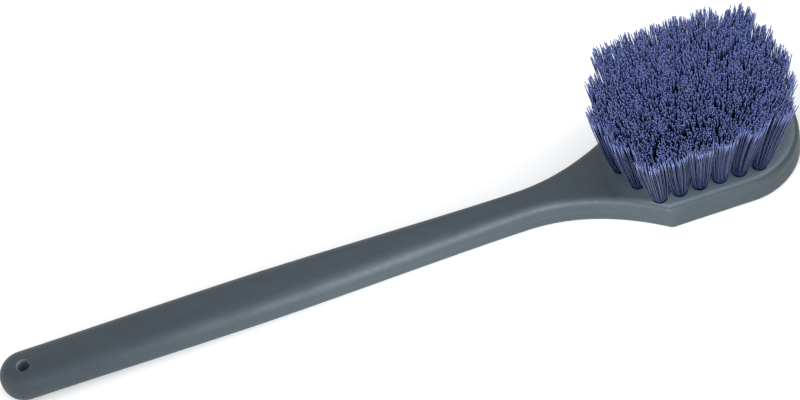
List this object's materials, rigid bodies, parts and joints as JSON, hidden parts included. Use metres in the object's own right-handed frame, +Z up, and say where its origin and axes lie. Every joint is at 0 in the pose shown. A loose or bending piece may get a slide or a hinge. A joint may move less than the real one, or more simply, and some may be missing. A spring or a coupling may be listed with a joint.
{
  "type": "long-handled utility brush",
  "caption": "Long-handled scrub brush: flat one-piece handle and rounded block, flared staple-set bristle tufts, hanging hole at the handle's end.",
  "frame": {"origin": "on the flat back of the block, under the centre of the tuft field", "axes": "+X from the handle towards the tip of the block, +Z up through the bristles, -Z out of the flat back"},
  "size_m": [0.508, 0.0984, 0.0805],
  "materials": {
    "moulding": "moulded, satin, dark slate grey",
    "bristle": "extruded filament, soft sheen, dark violet blue",
    "anchor_wire": "drawn flat wire, bright"
  },
  "bodies": {
    "root": {"handle_and_block": "moulding", "bristle_row_1": "bristle", "bristle_row_2": "bristle", "bristle_row_3": "bristle", "bristle_row_4": "bristle", "bristle_row_5": "bristle", "anchor_staple_1_1": "anchor_wire", "anchor_staple_1_2": "anchor_wire", "anchor_staple_1_3": "anchor_wire", "anchor_staple_1_4": "anchor_wire", "anchor_staple_1_5": "anchor_wire", "anchor_staple_1_6": "anchor_wire", "anchor_staple_2_1": "anchor_wire", "anchor_staple_2_2": "anchor_wire", "anchor_staple_2_3": "anchor_wire", "anchor_staple_2_4": "anchor_wire", "anchor_staple_2_5": "anchor_wire", "anchor_staple_2_6": "anchor_wire", "anchor_staple_2_7": "anchor_wire", "anchor_staple_3_1": "anchor_wire", "anchor_staple_3_2": "anchor_wire", "anchor_staple_3_3": "anchor_wire", "anchor_staple_3_4": "anchor_wire", "anchor_staple_3_5": "anchor_wire", "anchor_staple_3_6": "anchor_wire", "anchor_staple_3_7": "anchor_wire", "anchor_staple_3_8": "anchor_wire", "anchor_staple_4_1": "anchor_wire", "anchor_staple_4_2": "anchor_wire", "anchor_staple_4_3": "anchor_wire", "anchor_staple_4_4": "anchor_wire", "anchor_staple_4_5": "anchor_wire", "anchor_staple_4_6": "anchor_wire", "anchor_staple_4_7": "anchor_wire", "anchor_staple_5_1": "anchor_wire", "anchor_staple_5_2": "anchor_wire", "anchor_staple_5_3": "anchor_wire", "anchor_staple_5_4": "anchor_wire", "anchor_staple_5_5": "anchor_wire", "anchor_staple_5_6": "anchor_wire"}
  },
  "joints": []
}
